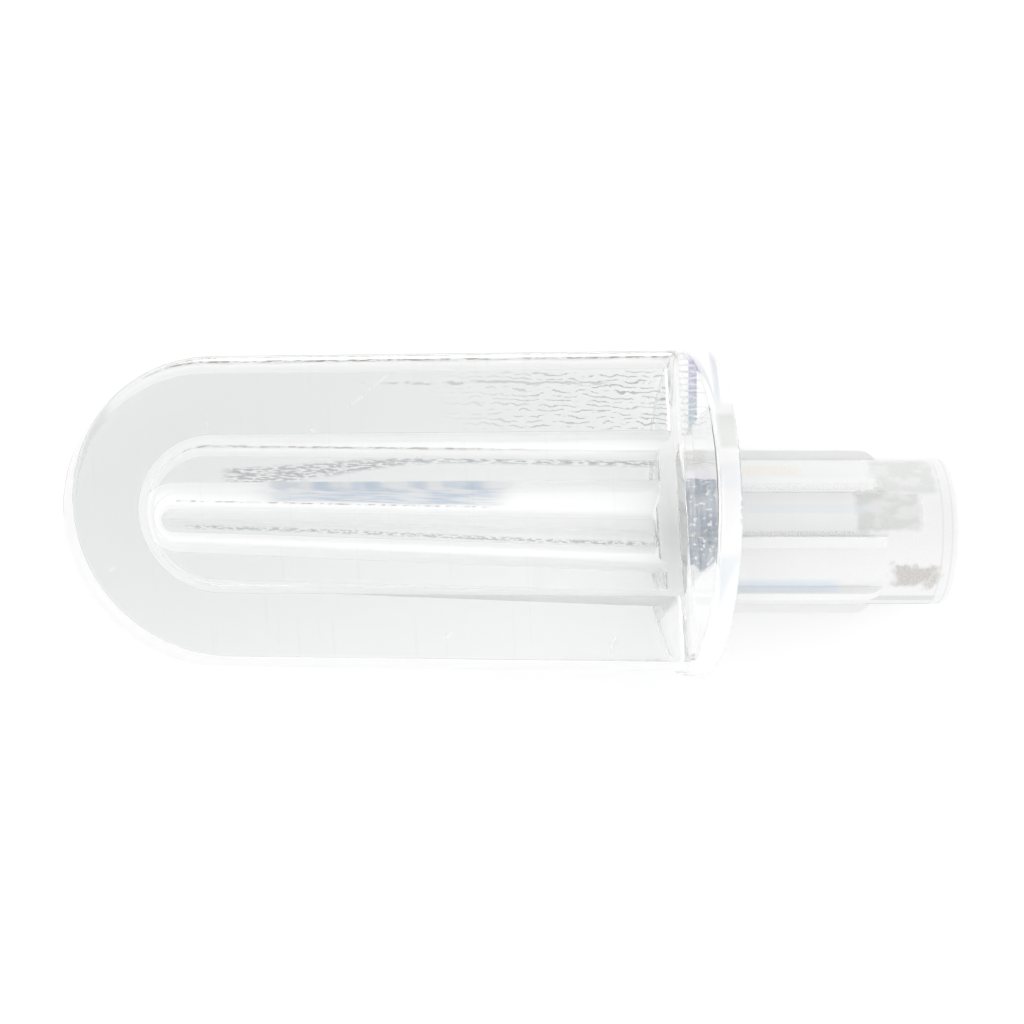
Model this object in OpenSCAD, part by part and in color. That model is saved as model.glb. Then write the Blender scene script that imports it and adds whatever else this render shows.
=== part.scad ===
// Shelf support pin: a ribbed push-in peg, a round wall flange and a flat tongue
// that the shelf rests on, stiffened below by a sloping pad and a keel. It is
// one clear plastic moulding.
//
// Frame: the origin is on the peg's axis, in the flange face that meets the
// cabinet side. +X runs along the peg into the cabinet side, +Z is up towards
// the shelf, and the tongue reaches out along -X.

/* [Peg] */
// Diameter over the crush ribs, for a hole of 1/4 inch
rib_crest_d = 6.35; // [5.2:0.05:7.7]
// Height of the crush ribs above the plain core of the peg
rib_h = 0.35; // [0.2:0.05:0.5]
// Number of crush ribs round the peg
rib_count = 8; // [4:1:10]
// Width of one crush rib
rib_w = 0.4; // [0.3:0.05:0.6]
// Length of the crush ribs at full height, from the wall face
rib_len = 6.8; // [5:0.1:7.2]
// Length over which a crush rib curves down to the core
rib_ramp = 0.65; // [0.5:0.05:0.9]
// Length of the peg from the wall face to its tip
peg_len = 10.35; // [8.6:0.05:13]
// Rounding of the edge at the tip of the peg
peg_tip_r = 0.35; // [0.1:0.05:0.5]

/* [Flange] */
// Diameter of the round flange
flange_d = 12.7; // [10.5:0.1:15.3]
// Thickness of the flange
flange_t = 0.95; // [0.8:0.05:1.4]
// Rounding of the flange's edge on the tongue's side
flange_edge_r = 0.25; // [0.1:0.05:0.4]
// Rounding of the flange's edge on the wall side
flange_back_r = 0.1; // [0.05:0.05:0.25]
// Distance from the flange's lowest point up to the core of the peg
peg_inset = 0.475; // [0.3:0.025:0.8]

/* [Tongue] */
// Distance from the wall face to the tip of the tongue
tongue_reach = 25.4; // [21:0.1:31]
// Thickness of the tongue
tongue_t = 1.9; // [1.5:0.05:2.3]
// Distance from the flange's side to the tongue's side
tongue_inset = 0.12; // [0.1:0.01:0.4]
// How much the tongue narrows on each side, from the flange to its round end
tongue_taper = 0.22; // [0.1:0.02:0.5]
// Rounding of the edge round the tongue's upper face
tongue_edge_r = 0.15; // [0.1:0.05:0.5]
// Rounding of the edge round the tongue's lower face
tongue_under_r = 0.4; // [0.1:0.05:0.5]
// Fillet between the flange and all that stands on its tongue side
root_fillet_r = 0.3; // [0.15:0.05:0.35]

/* [Pad under the tongue] */
// Distance from the tip of the tongue to the tip of the pad
pad_setback = 3.25; // [2.7:0.05:3.9]
// Width of the pad where it meets the flange
pad_root_w = 6; // [4.9:0.02:7]
// How much the pad narrows on each side, from the flange to its round end
pad_taper = 0.16; // [0.06:0.02:0.3]
// Depth of the pad below the tongue at its tip
pad_nose_h = 0.75; // [0.7:0.05:1]
// Rounding of the pad's lower edge
pad_edge_r = 0.35; // [0.1:0.05:0.35]
// Fillet between the pad and the tongue
pad_fillet_r = 0.3; // [0.15:0.05:0.4]

/* [Keel under the pad] */
// Distance from the tip of the pad to the tip of the keel's lower face
keel_setback = 0.6; // [0.5:0.05:1.4]
// Width of the keel's lower face where it meets the flange
keel_root_w = 1.66; // [1.4:0.02:2]
// How much the keel narrows on each side, from the flange to its round end
keel_taper = 0.12; // [0.06:0.02:0.2]
// Angle by which the keel's walls lean out, from its lower face up to the pad
keel_draft = 21; // [10:1:24]
// Depth of the keel below the pad at its tip
keel_nose_h = 0.8; // [0.75:0.05:1]
// Depth of the keel below the pad at the flange
keel_root_h = 1.75; // [1.4:0.05:2.1]
// Distance from the flange's lowest point up to the keel
keel_inset = 0.5; // [0.4:0.05:0.8]
// Rounding of the keel's lower edge
keel_edge_r = 0.3; // [0.1:0.05:0.35]
// Fillet between the keel and the pad
keel_fillet_r = 0.3; // [0.15:0.05:0.4]

/* [Hidden] */
$fn = 96;

// How far one solid runs into the next, so that they join
sink = 0.2;
// Depth at which a curved face cuts into the face that it runs into, because
// faces that only touch don't join cleanly
graze = 0.002;
// Amount by which the radii of a profile are larger than named. It sets the
// sides of a tongue shape off from its round end, for the same reason.
$ease = 0;
// How far the straight stretches of a fillet are set off from its turned ones
step = 0.01;
// Room left between the end of a fillet and the rounded edge of what it is on
hem = 0.05;
// Size of the blocks that trim a solid to one side of a plane
far = 120;
// Angle by which a turned stretch runs on into the straight stretch beside it
lap = 15;

// The peg's core, and the crests of its ribs
crest_r = rib_crest_d / 2;
core_r = crest_r - rib_h;

// Height of the flange's centre, and the flange's face on the tongue's side
flange_low = -core_r - peg_inset;
flange_z = flange_low + flange_d / 2;
head_x = -flange_t;

// The tongue's two faces, its half width at the flange and its round end
tongue_top = flange_z + tongue_t / 2;
tongue_low = flange_z - tongue_t / 2;
tongue_half_w = flange_d / 2 - tongue_inset;
tongue_nose_r = tongue_half_w - tongue_taper;

// The pad and the keel: their tips, half widths at the flange, round ends, and
// where their lower faces meet the flange
pad_reach = tongue_reach - pad_setback;
pad_half_w = pad_root_w / 2;
pad_nose_r = pad_half_w - pad_taper;
keel_reach = pad_reach - keel_setback;
keel_half_w = keel_root_w / 2;
keel_nose_r = keel_half_w - keel_taper;
keel_low = flange_low + keel_inset;
pad_low = keel_low + keel_root_h;

// How much wider the keel is on each side where it meets the pad, at its tip
// and at the flange
keel_nose_spread = keel_nose_h * tan(keel_draft);
keel_root_spread = keel_root_h * tan(keel_draft);

// How steeply the lower faces of the pad and the keel rise towards their tips
pad_slope = lower_slope(pad_reach, tongue_low - pad_nose_h - pad_low);
keel_slope = lower_slope(keel_reach,
    pad_low + rise(keel_reach, pad_slope) - keel_nose_h - keel_low);

// Slope of a face that rises by height from the flange to a distance reach
// from the wall face, and the rise of a face whose slope is known
function lower_slope(reach, height) = atan2(height, reach - flange_t);
function rise(reach, slope) = (reach - flange_t) * tan(slope);

// Angle that each side of a tongue shape makes with its middle line: the side
// is side_r from the centre of the round end, and half_w from the middle line
// at a distance run from that centre
function splay(run, half_w, side_r) = atan2(half_w, run) - asin(side_r / norm([run, half_w]));

// Distance from a corner, whose wall leans out by draft, to where a rounding of
// radius 1 begins
function corner_run(draft) = (1 - sin(draft)) / cos(draft);

// Keeps the part of a profile that can be turned round the Y axis
module right_half() {
    intersection() {
        translate([0, -far / 2]) square(far);
        children();
    }
}

// Profile of a bar whose outer edge is at reach, with its two outer corners
// rounded
module edge_profile(reach, low, high, low_r, high_r) {
    difference() {
        translate([-reach, low]) square([2 * reach, high - low]);
        translate([reach, low]) corner_waste(low_r);
        translate([reach, high]) mirror([0, 1]) corner_waste(high_r);
    }
}

// What rounding takes off a corner at the origin, where the material lies on
// the side of -x and +y
module corner_waste(r) {
    eased_r = r + $ease;
    if (r > 0) difference() {
        translate([-eased_r, -sink]) square([eased_r + sink, eased_r + sink]);
        translate([-eased_r, eased_r]) circle(eased_r);
    }
}

// The same where the wall above the corner leans out by draft
module leaning_corner_waste(r, draft) {
    eased_r = r + $ease;
    middle = (eased_r - graze) * [-corner_run(draft), 1];
    touch = middle + (eased_r - graze) * [cos(draft), -sin(draft)];
    difference() {
        polygon([
            [middle[0], -sink],
            [touch[0] + sink, -sink],
            [touch[0] + sink, touch[1]],
            touch,
            middle,
        ]);
        translate(middle) circle(eased_r);
    }
}

// What a fillet adds in a corner at the origin, between a floor along +x and a
// wall that leans back from +y by slope. It is sunk into both.
module fillet_profile(r, slope) {
    eased_r = r + $ease;
    middle = (eased_r - graze) * [corner_run(slope), 1];
    touch = middle - eased_r * [cos(slope), sin(slope)];
    difference() {
        polygon([
            [touch[0] - sink, -sink],
            [middle[0], -sink],
            middle,
            touch,
            [touch[0] - sink, touch[1]],
        ]);
        translate(middle) circle(eased_r);
    }
}

// Tongue shape with the centre of its round end at the origin: a profile whose
// edge is at nose_r is turned round the end, and drawn along each side to run
// and past it by spare
module along_tongue(run, half_w, nose_r, spare) {
    turn = splay(run, half_w, nose_r - graze);
    for (side = [0, 1]) mirror([0, side, 0]) intersection() {
        rotate([0, 0, turn]) rotate([90, 0, 90]) linear_extrude(run + spare, $ease = graze)
            translate([-graze, 0]) children();
        translate([-far / 2, 0, -far / 2]) cube(far);
    }
    rotate([0, 0, 90 - lap]) rotate_extrude(angle = 180 + 2 * lap) right_half() children();
}

module peg() {
    rotate([0, 90, 0]) {
        rotate_extrude() right_half() intersection() {
            translate([0, -flange_t / 2]) square(far);
            edge_profile(core_r, -flange_t, peg_len, 0, peg_tip_r);
        }
        for (i = [0 : rib_count - 1]) rotate([0, 0, (i + 0.5) * 360 / rib_count]) crush_rib();
    }
}

// One crush rib, on the +X side of a peg that stands along +Z. Its crest curves
// down to the core on an arc.
module crush_rib() {
    arc_r = (rib_ramp * rib_ramp + rib_h * rib_h) / (2 * rib_h);
    translate([0, rib_w / 2, 0]) rotate([90, 0, 0]) linear_extrude(rib_w) intersection() {
        translate([core_r - sink, -flange_t / 2]) square(far);
        union() {
            translate([0, -flange_t / 2]) square([crest_r, rib_len + flange_t / 2]);
            translate([crest_r - arc_r, rib_len]) circle(arc_r);
        }
    }
}

module flange() {
    translate([head_x, 0, flange_z]) rotate([0, 90, 0]) rotate_extrude() right_half()
        edge_profile(flange_d / 2, 0, flange_t, flange_edge_r, flange_back_r);
}

module tongue() {
    run = tongue_reach - tongue_nose_r - flange_t;
    translate([tongue_nose_r - tongue_reach, 0, 0])
        along_tongue(run, tongue_half_w, tongue_nose_r, flange_t / 2)
            edge_profile(tongue_nose_r, tongue_low, tongue_top, tongue_under_r, tongue_edge_r);
}

// Draws a profile along a tongue shape that lies on a sloping face. The face
// meets the flange at the height low, and the shape's tip is at reach.
module along_slope(reach, low, slope, half_w, nose_r) {
    run = (reach - flange_t) / cos(slope) - nose_r;
    translate([-reach, 0, low + rise(reach, slope)]) rotate([0, slope, 0])
        translate([nose_r, 0, 0]) along_tongue(run, half_w, nose_r, flange_t) children();
}

// Keeps what is below the middle of the tongue, and on the tongue's side of the
// middle of the flange
module below_tongue() {
    intersection() {
        translate([-far - flange_t / 2, -far / 2, flange_z - far]) cube(far);
        children();
    }
}

// Keeps what is below a face that meets the flange at low, and on the tongue's
// side of the middle of the flange
module below_face(low, slope) {
    intersection() {
        translate([-flange_t, 0, low]) rotate([0, slope, 0])
            translate([-far + flange_t / 2, -far / 2, -far]) cube(far);
        children();
    }
}

// Fillet between walls that lean out by draft and the face above them, which
// meets the flange at face_low
module foot_fillet(reach, face_low, face_slope, half_w, nose_r, draft, fillet_r) {
    below_tongue() along_slope(reach, face_low, face_slope, half_w, nose_r)
        translate([nose_r, 0]) mirror([0, 1]) fillet_profile(fillet_r, draft);
}

// The pad's walls stand square on its lower face
module pad() {
    wall_lean = pad_nose_h * tan(pad_slope);
    below_tongue() along_slope(pad_reach, pad_low, pad_slope, pad_half_w, pad_nose_r)
        edge_profile(pad_nose_r, 0, flange_d, pad_edge_r, 0);
    foot_fillet(pad_reach - wall_lean, tongue_low, 0, pad_half_w, pad_nose_r, 0, pad_fillet_r);
    root_skirt(pad_half_w, pad_low, pad_edge_r, pad_slope);
}

// Profile of the keel above its lower face, with its walls leaning out
module keel_profile() {
    spread = flange_d * tan(keel_draft);
    difference() {
        polygon([
            [-keel_nose_r, 0],
            [keel_nose_r, 0],
            [keel_nose_r + spread, flange_d],
            [-keel_nose_r, flange_d],
        ]);
        translate([keel_nose_r, 0]) leaning_corner_waste(keel_edge_r, keel_draft);
    }
}

// The keel's tip stands near the rounded edge of the pad, so its fillet stops
// where the flat of the pad ends
module keel() {
    wall_lean = keel_nose_h * tan(keel_slope - pad_slope);
    flat_inset = pad_edge_r + hem;
    below_face(pad_low + sink, pad_slope)
        along_slope(keel_reach, keel_low, keel_slope, keel_half_w, keel_nose_r) keel_profile();
    intersection() {
        foot_fillet(keel_reach + keel_nose_spread - wall_lean, pad_low, pad_slope,
            keel_half_w + keel_root_spread, keel_nose_r + keel_nose_spread, keel_draft,
            keel_fillet_r);
        along_slope(pad_reach - flat_inset, pad_low, pad_slope, pad_half_w - flat_inset,
            pad_nose_r - flat_inset)
            edge_profile(pad_nose_r - flat_inset, -flange_d, flange_d, 0, 0);
    }
    keel_skirt();
}

// Fillet on the flange's face round the keel. It ends inside the pad.
module keel_skirt() {
    lean = atan(tan(keel_draft) * cos(keel_slope));
    corner = [keel_half_w - keel_edge_r * corner_run(lean), keel_low + keel_edge_r];
    wall_run = (pad_low + sink - corner[1]) / cos(lean);
    translate([head_x, 0, 0]) rotate([90, 0, -90]) {
        for (side = [0, 1]) mirror([side, 0, 0]) translate(corner) {
            rotate([0, 0, -lean]) translate([keel_edge_r - step, wall_run, 0]) rotate([90, 0, 0])
                linear_extrude(wall_run) fillet_profile(root_fillet_r, keel_slope);
            rotate([0, 0, -90 - 2 * lap]) rotate_extrude(angle = 90 - lean + 4 * lap) right_half()
                translate([keel_edge_r, 0]) fillet_profile(root_fillet_r, keel_slope);
        }
        translate([corner[0], keel_low + step, 0]) rotate([90, 0, -90])
            linear_extrude(2 * corner[0]) fillet_profile(root_fillet_r, keel_slope);
    }
}

// Fillet on the flange's face round a block of half width half_w, whose lower
// face meets the flange at low with its edges rounded by edge_r. It stays on
// the flat of the flange.
module root_skirt(half_w, low, edge_r, slope) {
    flat_w = half_w - edge_r;
    intersection() {
        translate([head_x, 0, 0]) rotate([90, 0, -90]) {
            for (side = [0, 1]) mirror([side, 0, 0]) {
                translate([half_w, flange_z, 0]) rotate([90, 0, 0])
                    linear_extrude(flange_z - low - edge_r)
                        fillet_profile(root_fillet_r, slope);
                translate([flat_w, low + edge_r, 0]) rotate([0, 0, -90])
                    rotate_extrude(angle = 90) right_half() translate([edge_r, 0])
                        fillet_profile(root_fillet_r, slope);
            }
            translate([flat_w, low, 0]) rotate([90, 0, -90]) linear_extrude(2 * flat_w)
                fillet_profile(root_fillet_r, slope);
        }
        translate([-far / 2, 0, flange_z]) rotate([0, 90, 0])
            cylinder(h = far, r = flange_d / 2 - flange_edge_r - hem);
    }
}

// Fillets between the flange and the two faces of the tongue
module tongue_skirt() {
    root_skirt(tongue_half_w, tongue_low, tongue_under_r, 0);
    translate([0, 0, flange_z]) mirror([0, 0, 1]) translate([0, 0, -flange_z])
        root_skirt(tongue_half_w, tongue_low, tongue_edge_r, 0);
}

module shelf_pin() {
    color([0.85, 0.88, 0.87, 0.6]) union() {
        peg();
        flange();
        tongue();
        tongue_skirt();
        pad();
        keel();
    }
}

shelf_pin();
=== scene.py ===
import math

import bpy
from mathutils import Matrix, Vector


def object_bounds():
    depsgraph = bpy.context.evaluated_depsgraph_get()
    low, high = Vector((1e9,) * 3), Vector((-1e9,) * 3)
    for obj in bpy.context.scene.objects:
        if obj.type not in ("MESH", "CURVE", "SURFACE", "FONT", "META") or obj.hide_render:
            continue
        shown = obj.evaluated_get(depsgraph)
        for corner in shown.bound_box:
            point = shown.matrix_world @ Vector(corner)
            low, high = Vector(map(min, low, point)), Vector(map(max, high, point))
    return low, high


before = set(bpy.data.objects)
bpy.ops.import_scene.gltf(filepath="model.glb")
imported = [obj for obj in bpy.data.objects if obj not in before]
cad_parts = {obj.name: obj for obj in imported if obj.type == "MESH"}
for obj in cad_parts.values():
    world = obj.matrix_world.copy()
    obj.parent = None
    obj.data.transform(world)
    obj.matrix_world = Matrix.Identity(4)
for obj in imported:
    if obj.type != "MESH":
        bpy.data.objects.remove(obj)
cad_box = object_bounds()


# The pin is one injection moulding of clear plastic: a ribbed peg, a round
# flange and a flat tongue with a pad and a keel below it. It is pushed into a
# drilled hole in a cabinet side, and a shelf rests on the tongue.
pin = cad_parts["shelf_pin"]


class Wire:
    """An output of a shader node that is used in sums as a number is."""

    def __init__(self, finish, socket):
        self.finish, self.socket = finish, socket

    def sum(self, operation, first, second=0.0):
        return self.finish.node("ShaderNodeMath", {"operation": operation}, {0: first, 1: second})

    def __add__(self, other):
        return self.sum("ADD", self, other)

    __radd__ = __add__

    def __sub__(self, other):
        return self.sum("SUBTRACT", self, other)

    def __rsub__(self, other):
        return self.sum("SUBTRACT", other, self)

    def __mul__(self, other):
        return self.sum("MULTIPLY", self, other)

    __rmul__ = __mul__

    def __pow__(self, other):
        return self.sum("POWER", self, other)

    def least(self, other):
        return self.sum("MINIMUM", self, other)

    def most(self, other):
        return self.sum("MAXIMUM", self, other)

    def size(self):
        return self.sum("ABSOLUTE", self)

    def ramp(self, start, end):
        """0 up to the value start, 1 from the value end on."""
        return self.finish.node("ShaderNodeMapRange", {"interpolation_type": "SMOOTHSTEP"}, {
            "Value": self, "From Min": start, "From Max": end})

    def band(self, low, high, soft):
        """1 between low and high, fading to 0 within soft on either side."""
        middle, half = (low + high) / 2, (high - low) / 2
        return (self - middle).size().ramp(half + soft, half)


class Finish:
    """The nodes of a material or a world, with one method that adds a node to them."""

    def __init__(self, owner):
        owner.use_nodes = True
        self.owner, self.tree = owner, owner.node_tree
        self.tree.nodes.clear()

    def node(self, kind, settings=None, sockets=None, output=0):
        made = self.tree.nodes.new(kind)
        for name, value in (settings or {}).items():
            setattr(made, name, value)
        for name, value in (sockets or {}).items():
            if isinstance(value, Wire):
                self.tree.links.new(value.socket, made.inputs[name])
            else:
                made.inputs[name].default_value = value
        return Wire(self, made.outputs[output]) if made.outputs else made


clear = Finish(bpy.data.materials.new("clear_plastic"))
MM = 0.001
coords = clear.node("ShaderNodeTexCoord", {}, {}, "Object")
in_mm = clear.node("ShaderNodeVectorMath", {"operation": "SCALE"}, {0: coords, "Scale": 1 / MM})
x, y, z = (clear.node("ShaderNodeSeparateXYZ", {}, {0: in_mm}, axis) for axis in "XYZ")

# sizes in mm, as the moulding has them: x of a round end, its radius, and how
# much the outline widens on each side for each mm from there to the flange
TONGUE_END_X, TONGUE_END_R, TONGUE_WIDENING = -19.39, 6.01, 0.0119
PAD_END_X, PAD_END_R, PAD_WIDENING = -19.31, 2.84, 0.0087
KEEL_END_X, KEEL_END_R, KEEL_WIDENING = -20.84, 0.71, 0.006
# heights of the faces, how much the lower ones rise towards the tip for each mm,
# and how much the keel's walls lean out for each mm up
TONGUE_LOW, TONGUE_TOP = 2.1, 4.0
PAD_LOW, PAD_RISE = -1.05, 0.1132
KEEL_LOW, KEEL_RISE, KEEL_LEAN = -2.8, 0.1593, 0.3839
FLANGE_FRONT, FLANGE_Z, FLANGE_R = -0.95, 3.05, 6.35


def beyond_outline(end_x, end_r, widening):
    """How far a point lies outside a round-ended outline."""
    from_middle = ((x - end_x).least(0) ** 2 + y ** 2) ** 0.5
    return from_middle - end_r - (x - end_x).most(0) * widening


def dashes(along, across, seed, start, end, side=y):
    """Noise drawn out along the pin: 0 where it is under start, 1 where it is over end."""
    place = clear.node("ShaderNodeCombineXYZ", {}, {0: x * along, 1: side * across, 2: seed})
    noise = {"Vector": place, "Scale": 1.0, "Detail": 2.0}
    return clear.node("ShaderNodeTexNoise", {}, noise).ramp(start, end)


def waves(value, rate):
    """A sine wave along a value, where rate is radians for each mm."""
    return clear.node("ShaderNodeMath", {"operation": "SINE"}, {0: value * rate})


def patch(x0, x1, y0, y1, soft):
    """1 inside a rectangle that is seen from above."""
    return x.band(x0, x1, soft) * y.band(y0, y1, soft)


def stroke(x0, y0, x1, y1, half_w):
    """A straight scratch between two points, seen from above."""
    slope = (y1 - y0) / (x1 - x0)
    gap = (y - x * slope - (y0 - x0 * slope)).size()
    return gap.ramp(half_w * 1.5, half_w * 0.5) * x.band(x0, x1, 0.04)


def blend(share, first, second):
    return clear.node("ShaderNodeMix", {"data_type": "RGBA"}, {0: share, 6: first, 7: second}, 2)


# the second tint is painted shade for the tongue's underside
SHEER, SHADE_TINT, WHITE = (0.985, 0.99, 0.985, 1), (0.68, 0.705, 0.69, 1), (0.98, 0.98, 0.98, 1)
PLASTIC_IOR, POLISHED, HAZY = 1.49, 0.02, 0.3


def shell(tint, wash, haze, outer):
    """Clear plastic under a hazy skin.

    White light comes through the skin or, where outer is 1, it throws back the wash.
    """
    sheer = clear.node("ShaderNodeBsdfPrincipled", {}, {
        "Base Color": tint, "Roughness": haze * HAZY + POLISHED,
        "IOR": PLASTIC_IOR, "Transmission Weight": 1.0})
    through = clear.node("ShaderNodeBsdfTranslucent", {}, {"Color": WHITE})
    back = clear.node("ShaderNodeBsdfPrincipled", {}, {
        "Base Color": wash, "Roughness": 1.0, "Specular IOR Level": 0.0})
    skin = clear.node("ShaderNodeMixShader", {}, {0: outer, 1: through, 2: back})
    return clear.node("ShaderNodeMixShader", {}, {0: haze, 1: sheer, 2: skin})


# where the faces and walls of the tongue, the pad and the keel are
tongue_gap = beyond_outline(TONGUE_END_X, TONGUE_END_R, TONGUE_WIDENING)
pad_gap = beyond_outline(PAD_END_X, PAD_END_R, PAD_WIDENING)
pad_height = z - PAD_LOW + (x - FLANGE_FRONT) * PAD_RISE
keel_height = z - KEEL_LOW + (x - FLANGE_FRONT) * KEEL_RISE
keel_gap = beyond_outline(KEEL_END_X, KEEL_END_R, KEEL_WIDENING) - keel_height * KEEL_LEAN
before_flange = x.ramp(FLANGE_FRONT + 0.1, FLANGE_FRONT)
north = y.ramp(-0.2, 0.2)
FACE_SOFT = 0.02
under_face = z.band(TONGUE_LOW - FACE_SOFT, TONGUE_LOW + FACE_SOFT, FACE_SOFT) * before_flange
pad_face = pad_height.ramp(2 * FACE_SOFT, FACE_SOFT) * before_flange
keel_face = keel_height.ramp(2 * FACE_SOFT, FACE_SOFT) * before_flange

# Light is led inside the plastic and comes out at its walls. A render's few
# bounces lose it, so a white haze on the walls stands in for it.
tongue_rim = tongue_gap.ramp(-0.46, -0.4) * z.ramp(TONGUE_TOP - 0.05, TONGUE_TOP - 0.1)
pad_wall = pad_gap.band(-0.36, 0.3, 0.04) * z.ramp(TONGUE_LOW + 0.08, TONGUE_LOW + 0.02)
keel_wall = keel_gap.band(-0.25, 0.34, 0.03) * z.ramp(TONGUE_LOW, TONGUE_LOW - 0.3)
keel_flat = keel_height.ramp(0.3, 0.2) * y.ramp(-0.3, 0.6)
tip_and_south = ((x - TONGUE_END_X).least(0) + y).ramp(0.8, -0.8)
RIM_HAZE, PAD_HAZE, MORE_HAZE = 0.55, 0.58, 0.37
KEEL_WALL_HAZE, KEEL_FLAT_HAZE = 0.96, 0.8
above_seam = z.ramp(TONGUE_LOW + 0.2, TONGUE_LOW + 0.4)
rim_haze = tongue_rim * (above_seam * MORE_HAZE + RIM_HAZE)
pad_haze = pad_wall * (pad_height.ramp(0.2, 0.35) * MORE_HAZE + PAD_HAZE)

# rows of ripples and one long ripple on the tongue's lower face
wobble = dashes(1.6, 2.2, 3.7, 0.2, 0.8)
rows = waves(y + wobble * 0.2 + x * 0.03, 30.0).ramp(0.45, 0.95)
pieces = (dashes(1.7, 6.5, 1.3, 0.4, 0.52) - x.ramp(-2.0, -11.0) * 0.5).most(0) * 1.3
ripple = rows * pieces * x.ramp(-11.5, -6.0) * y.band(3.45, 5.6, 0.15) * under_face
long_ripple = (y - 5.28 + wobble * 0.12).size().ramp(0.07, 0.02) * x.band(-12.5, -4.0, 1.0)
long_ripple = long_ripple * under_face * dashes(1.1, 1.0, 4.4, 0.36, 0.5)

# short dashes along the pad's lower face, in a field that narrows towards the
# flange, and in a line along the keel's
drift = y - 1.65 - x.ramp(-19.0, -9.5) * 0.85
field = drift.size() + x.ramp(-18.0, -9.0) * 0.24
field = field.ramp(0.45, 0.25) * x.band(-18.3, -1.6, 0.8)
field = field * dashes(2.8, 16.0, 5.2, 0.4, 0.58) * pad_face
keel_line = (y + 0.22 + x.ramp(-19.0, -2.0) * 0.2).size().ramp(0.13, 0.02) * keel_face
keel_line = keel_line * dashes(4.0, 14.0, 4.9, 0.4, 0.58) * x.band(-19.5, -1.9, 1.5)
grey_marks = (ripple * 0.65).most(long_ripple * 0.6).most(field * 0.85).most(keel_line * 0.75)

# brown dotted lines low on the walls, where their edge roundings begin
specks = dashes(3.5, 7.0, 2.6, 0.36, 0.66, z)
tongue_seam = z.band(TONGUE_LOW + 0.28, TONGUE_LOW + 0.4, 0.1) * tongue_gap.ramp(-0.12, -0.08)
pad_seam = pad_height.band(0.24, 0.36, 0.1) * pad_gap.band(-0.1, 0.1, 0.02) * x.ramp(-5.0, -9.0)
keel_seam = keel_height.band(0.16, 0.19, 0.05) * keel_gap.band(-0.2, 0.1, 0.02)
keel_seam = keel_seam * x.band(-20.0, -9.0, 2.0)
brown_marks = (tongue_seam * 1.4).most(pad_seam).most(keel_seam) * specks * north * 0.6

# a streaky cast on the keel's north wall stands in for light bent blue there
blue_wash = keel_wall * keel_height.ramp(0.25, 0.35) * north * x.band(-15.5, -9.0, 2.5)
blue_wash = blue_wash * (dashes(0.9, 11.0, 9.6, 0.35, 0.75, keel_height) * 0.7 + 0.2)

# painted shade: the tongue's underside is tinted darker at the tip's north side and
# fades to clear towards the south of the flange, and FILL makes even a faint wash
# be thrown back
GREY, BROWN, BLUE = (0.2, 0.21, 0.23, 1), (0.32, 0.24, 0.17, 1), (0.62, 0.73, 0.87, 1)
FILL = 3.0
shade_fade = clear.node("ShaderNodeMapRange", {}, {
    "Value": x - y * 1.6, "From Min": -26.0, "From Max": 3.0})
below = shell(
    blend(brown_marks, blend(grey_marks, blend(shade_fade, SHADE_TINT, SHEER), GREY), BROWN),
    blend(brown_marks, blend(blue_wash, WHITE, BLUE), BROWN),
    rim_haze.most(pad_haze).most(keel_wall * KEEL_WALL_HAZE).most(keel_flat * KEEL_FLAT_HAZE),
    (tip_and_south * tongue_rim * 0.8).most(blue_wash * FILL).most(brown_marks * FILL),
)

# the upper face has light scratches from the shelf and fine hairlines: x and y of
# each scratch's two ends, and half its width
SCRATCHES = (
    (-19.9, 3.12, -19.8, 3.3, 0.05),
    (-15.7, 3.0, -15.6, 3.06, 0.05),
    (-11.9, 1.75, -11.5, 1.95, 0.03),
    (-14.1, 4.0, -13.5, 4.4, 0.03),
    (-13.2, 4.7, -12.5, 5.2, 0.03),
    (-10.8, -5.25, -10.6, -5.1, 0.05),
    (-4.3, -5.75, -4.1, -5.3, 0.1),
    (-24.1, -2.6, -23.9, -2.5, 0.05),
)
scratch = stroke(*SCRATCHES[0])
for ends in SCRATCHES[1:]:
    scratch = scratch.most(stroke(*ends))
across = clear.node("ShaderNodeCombineXYZ", {}, {0: x * 6.0, 1: y * 0.25, 2: 0.4})
hairs = clear.node("ShaderNodeTexNoise", {}, {"Vector": across, "Scale": 1.0, "Detail": 0.0})
SCRATCH_HAZE, HAIR_HAZE = 0.32, 0.015
scratched = (scratch * SCRATCH_HAZE).most(hairs.ramp(0.72, 0.8) * HAIR_HAZE)
above = shell(SHEER, WHITE, scratched, 1.0)

# the peg and the flange are hazier than the tongue, and mottled
beyond_wall = x.ramp(0.01, 0.04)
wall_face = x.band(-0.01, 0.01, 0.01)
from_centre = (y ** 2 + (z - FLANGE_Z) ** 2) ** 0.5
flange_rim = from_centre.ramp(FLANGE_R - 0.3, FLANGE_R - 0.2) * x.ramp(0.02, 0.0)
mottle = dashes(1.2, 2.2, 6.6, 0.36, 0.6)
swirl = dashes(2.4, 2.8, 2.9, 0.2, 0.8) - 0.5
grain = dashes(14.0, 34.0, 3.1, 0.42, 0.62)
flecks = dashes(6.0, 6.0, 7.7, 0.6, 0.64)
upper = z.ramp(0.2, 0.6)

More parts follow.
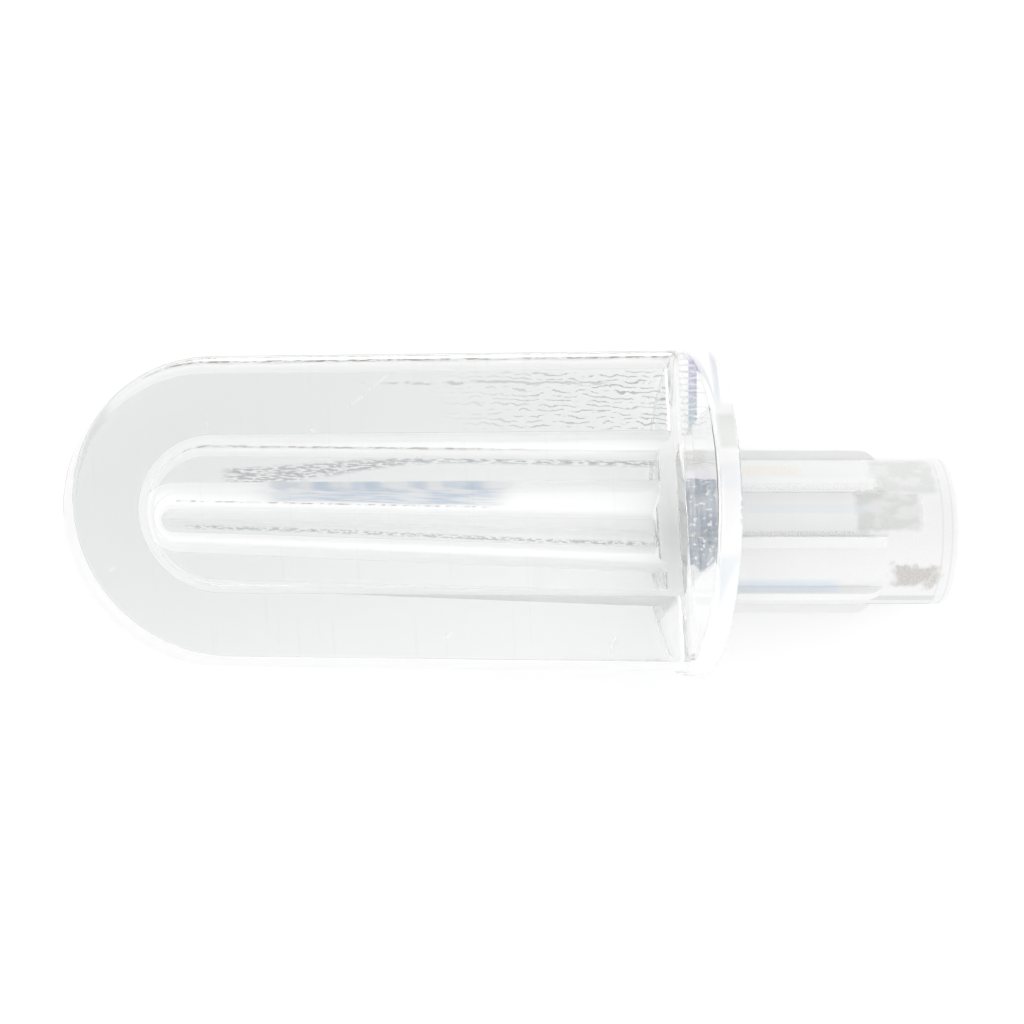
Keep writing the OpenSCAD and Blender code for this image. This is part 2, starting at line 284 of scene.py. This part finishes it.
# Marks on the upper side of the peg, from its root to its tip. The coloured ones
# stand in for light that the plastic bends and a render doesn't find.
streaks = dashes(7.0, 0.8, 7.7, 0.3, 0.6) * 0.35 + 0.65
root_blue = x.band(0.05, 1.3, 0.2) * (y + swirl * 0.5).band(-1.9, 1.2, 0.15) * upper * streaks
hatch = patch(0.05, 1.3, 1.9, 2.75, 0.2) * upper
lilac = patch(0.05, 1.3, 1.25, 1.85, 0.15) * upper
amber = x.band(1.7, 4.1, 0.3) * y.band(1.7, 2.05, 0.12) * upper * grain
wide_blue = y.band(-2.75, -2.4, 0.12) * x.band(1.8, 5.4, 0.6)
faint_blue = y.band(0.05, 0.3, 0.1) * x.band(2.0, 6.5, 0.4) * 0.5
blue_band = wide_blue.most(faint_blue) * upper
south_dust = y.band(-0.95, -0.72, 0.06) * x.band(1.5, 6.6, 0.2)
north_dust = y.band(0.95, 1.15, 0.08) * x.band(1.6, 7.0, 0.3) * 0.5
dust = south_dust.most(north_dust) * upper * grain
patches = (x + swirl * 0.12).band(6.35, 8.6, 0.3) * (y + swirl * 0.1).band(-0.55, 0.75, 0.2)
patches = patches.most((x + swirl * 0.12).band(7.2, 9.3, 0.4) * y.band(0.95, 2.3, 0.3) * 0.8)
patches = patches * upper * (mottle * 0.4 + 0.6)
brown_patch = (x + swirl * 0.5).band(8.0, 9.3, 0.5) * (y - swirl * 0.25).band(-2.4, -2.0, 0.2)
brown_patch = brown_patch * upper * (1 - grain * 0.5)

# marks all round the peg: cloudiness, and painted shade as dark lines at two rings
# at the tip, along its side edges and along the sides of the ribs, which lie half a
# pitch from the top, with RIB_R at half their height
clouds = beyond_wall * x.ramp(10.3, 10.2) * grain * (x.ramp(4.0, 9.0) * 0.12 + 0.1)
tip_edge_shade = x.band(9.6, 9.66, 0.03).most(x.band(9.98, 10.03, 0.03)) * 0.35
outline = z.size().band(0.3, 0.6, 0.15) * x.band(7.2, 9.6, 0.2) * 0.6
RIB_COUNT, RIB_R = 8, 3.0
HALF_PITCH = math.pi / RIB_COUNT
turn = clear.node("ShaderNodeMath", {"operation": "ARCTAN2"}, {0: y, 1: z})
turn = clear.node("ShaderNodeMath", {"operation": "PINGPONG"}, {0: turn, 1: HALF_PITCH})
rib_side = (turn - HALF_PITCH).size() * RIB_R
rib_edge_shade = rib_side.band(0.23, 0.25, 0.03) * x.band(0.1, 6.9, 0.1) * (mottle * 0.5 + 0.5)
rib_crest = rib_side.ramp(0.2, 0.16) * x.band(0.1, 7.0, 0.1)
# grey on the peg: part cloudy tone, patches and dust, part painted shade in the edge lines
peg_grey_and_shade = (patches * 0.5 + patches * grain * 0.25).most(clouds).most(dust * 0.8)
peg_grey_and_shade = peg_grey_and_shade.most(tip_edge_shade).most(rib_edge_shade * 0.5).most(outline)

# on the flange's back a play of colours in leaning rows stands in for bent light
# too, and so do the casts on its upper rim
LEAN = 0.25
column, row = z - y * LEAN, y + z * LEAN
teeth = waves(row + swirl * 0.1, 25.0).ramp(0.2, 0.9)
glint = wall_face * row.band(4.0, 6.8, 0.15) * column.band(3.8, 5.0, 0.15)
sheen = wall_face * row.band(3.8, 6.9, 0.1) * column.band(2.2, 3.7, 0.1) * 0.5
play = (glint * (0.85 - teeth * 0.5)).most(sheen * teeth * 0.8)
upper_rim = flange_rim * z.ramp(3.0, 4.0)
rim_grey = upper_rim * patch(-0.65, -0.15, 1.1, 2.3, 0.25) * 0.5
rim_blue = upper_rim * (y.band(-4.8, -3.4, 0.4).most(y.band(-0.5, 0.2, 0.3) * 0.5))

NAVY, PALE, STONE = (0.0, 0.075, 0.19, 1), (0.8, 0.87, 0.94, 1), (0.6, 0.63, 0.6, 1)
AMBER, LILAC, UMBER = (0.95, 0.86, 0.7, 1), (0.86, 0.8, 0.9, 1), (0.42, 0.38, 0.34, 1)
VIOLET, TEAL = (0.36, 0.3, 0.7, 1), (0.25, 0.5, 0.66, 1)
peg_wash = blend(peg_grey_and_shade.most(rim_grey), WHITE, STONE)
peg_wash = blend((blue_band * 0.8).most(rim_blue * 0.7), peg_wash, PALE)
peg_wash = blend(amber, peg_wash, AMBER)
peg_wash = blend((brown_patch * 0.8).most(hatch * grain), peg_wash, UMBER)
peg_wash = blend(play, peg_wash, blend(row.ramp(4.4, 6.0), TEAL, VIOLET))
peg_wash = blend(lilac, peg_wash, LILAC)
peg_wash = blend(root_blue * (1 - flecks), peg_wash, NAVY)

# the flange's back is clearer in a window above the peg's root
PEG_HAZE, BACK_HAZE, PEG_OUTER = 0.85, 0.65, 0.82
window = y.band(-2.9, 2.8, 0.3) * z.band(3.3, 8.3, 0.4)
lit_rim = z.ramp(1.0, 3.0)
peg_haze = beyond_wall * (PEG_HAZE - patches * 0.1 + rib_crest * 0.1 + root_blue * 0.14)
far_haze = (flange_rim * (lit_rim * 0.35 + 0.1)).most(wall_face * (BACK_HAZE - window * 0.6))
peg_outer = beyond_wall * (root_blue * (1 - PEG_OUTER) + PEG_OUTER)
far = shell(
    SHEER, peg_wash, far_haze.most(peg_haze),
    (flange_rim * lit_rim).most(peg_outer).most(play * 2.0))


def past(value, limit):
    """Exactly 1 past a limit and 0 before it, so that one shader is worked out at a time."""
    return value.sum("GREATER_THAN", value, limit)


on_top, on_flange = past(z, TONGUE_TOP - 0.06), past(x, FLANGE_FRONT + 0.04)
tongue = clear.node("ShaderNodeMixShader", {}, {0: on_top, 1: below, 2: above})
whole = clear.node("ShaderNodeMixShader", {}, {0: on_flange, 1: tongue, 2: far})
clear.node("ShaderNodeOutputMaterial", {}, {"Surface": whole})
for material_slot in pin.material_slots:
    material_slot.material = clear.owner


# The studio is a plain white paper floor under the pin. The camera, the plastic
# and its gloss see it whiter than it is lit, and it keeps the pin's shadow.
FLOOR_GAP, FLOOR_SIZE = 0.02 * MM, 4
PAPER, CAMERA_LIFT, PLASTIC_LIFT = (0.76, 0.76, 0.76, 1), 0.3, 0.27
bpy.ops.object.select_all(action="DESELECT")
bpy.ops.mesh.primitive_plane_add(size=FLOOR_SIZE, location=(0, 0, cad_box[0][2] - FLOOR_GAP))
floor = bpy.context.object
floor.name = "floor"
paper = Finish(bpy.data.materials.new("white_floor"))
camera_ray, plastic_ray, gloss_ray = (
    paper.node("ShaderNodeLightPath", {}, {}, f"Is {kind} Ray")
    for kind in ("Camera", "Transmission", "Glossy"))
lift = camera_ray * CAMERA_LIFT + plastic_ray.most(gloss_ray) * PLASTIC_LIFT
matt = paper.node("ShaderNodeBsdfDiffuse", {}, {"Color": PAPER})
glow = paper.node("ShaderNodeEmission", {}, {"Color": (1, 1, 1, 1), "Strength": lift})
lifted = paper.node("ShaderNodeAddShader", {}, {0: matt, 1: glow})
paper.node("ShaderNodeOutputMaterial", {}, {"Surface": lifted})
floor.data.materials.append(paper.owner)

# The room is bright, and brightest low at its sides. Its ceiling is dim to the
# camera and in the plastic, but not to what the floor and the skin gather.
CEILING, CEILING_START, CEILING_FULL = (0.3, 0.33, 0.4, 1), 0.85, 1.01
LOW_LEVEL, HIGH_LEVEL, LOW_END, HIGH_START = 2.0, 0.96, 0.2, 0.5
room = Finish(bpy.data.worlds.new("room"))
bpy.context.scene.world = room.owner
around = room.node("ShaderNodeTexCoord", {}, {}, "Generated")
height = room.node("ShaderNodeSeparateXYZ", {}, {0: around}, "Z")
bounces = room.node("ShaderNodeLightPath", {}, {}, "Diffuse Depth")
direct = (1 - bounces).most(0)
sides = room.node("ShaderNodeMapRange", {"interpolation_type": "SMOOTHSTEP"}, {
    "Value": height, "From Min": LOW_END, "From Max": HIGH_START,
    "To Min": LOW_LEVEL, "To Max": HIGH_LEVEL})
light = room.node("ShaderNodeMix", {"data_type": "RGBA"}, {
    0: height.ramp(CEILING_START, CEILING_FULL) * direct, 6: sides, 7: CEILING}, 2)
shone = room.node("ShaderNodeBackground", {}, {"Color": light, "Strength": 1.0})
room.node("ShaderNodeOutputWorld", {}, {"Surface": shone})


# The camera looks down on the shelf's side of the tongue, from its tip's end and
# a little from one side, without perspective. What it aims at is given in mm.
PIXELS, PIXELS_PER_MM = 1024, 25.83
AIM_RIGHT, AIM_UP, AIM_BACK = -6.67, 0.74, 5
DISTANCE, CLIP_START = 300 * MM, 1 * MM
camera_data = bpy.data.cameras.new("camera")
camera_data.type = "ORTHO"
camera_data.ortho_scale = PIXELS / PIXELS_PER_MM * MM
camera_data.clip_start = CLIP_START
camera = bpy.data.objects.new("camera", camera_data)
bpy.context.scene.collection.objects.link(camera)
back = Vector((-0.2453, -0.2378, 0.9398)).normalized()
right = Vector((0.9694, -0.0602, 0.2378))
right = (right - right.dot(back) * back).normalized()
up = back.cross(right)
aim = (right * AIM_RIGHT + up * AIM_UP + back * AIM_BACK) * MM
stand = aim + back * DISTANCE
camera.matrix_world = Matrix((
    (right.x, up.x, back.x, stand.x),
    (right.y, up.y, back.y, stand.y),
    (right.z, up.z, back.z, stand.z),
    (0, 0, 0, 1),
))
bpy.context.scene.camera = camera
bpy.context.scene.view_settings.view_transform = "Standard"
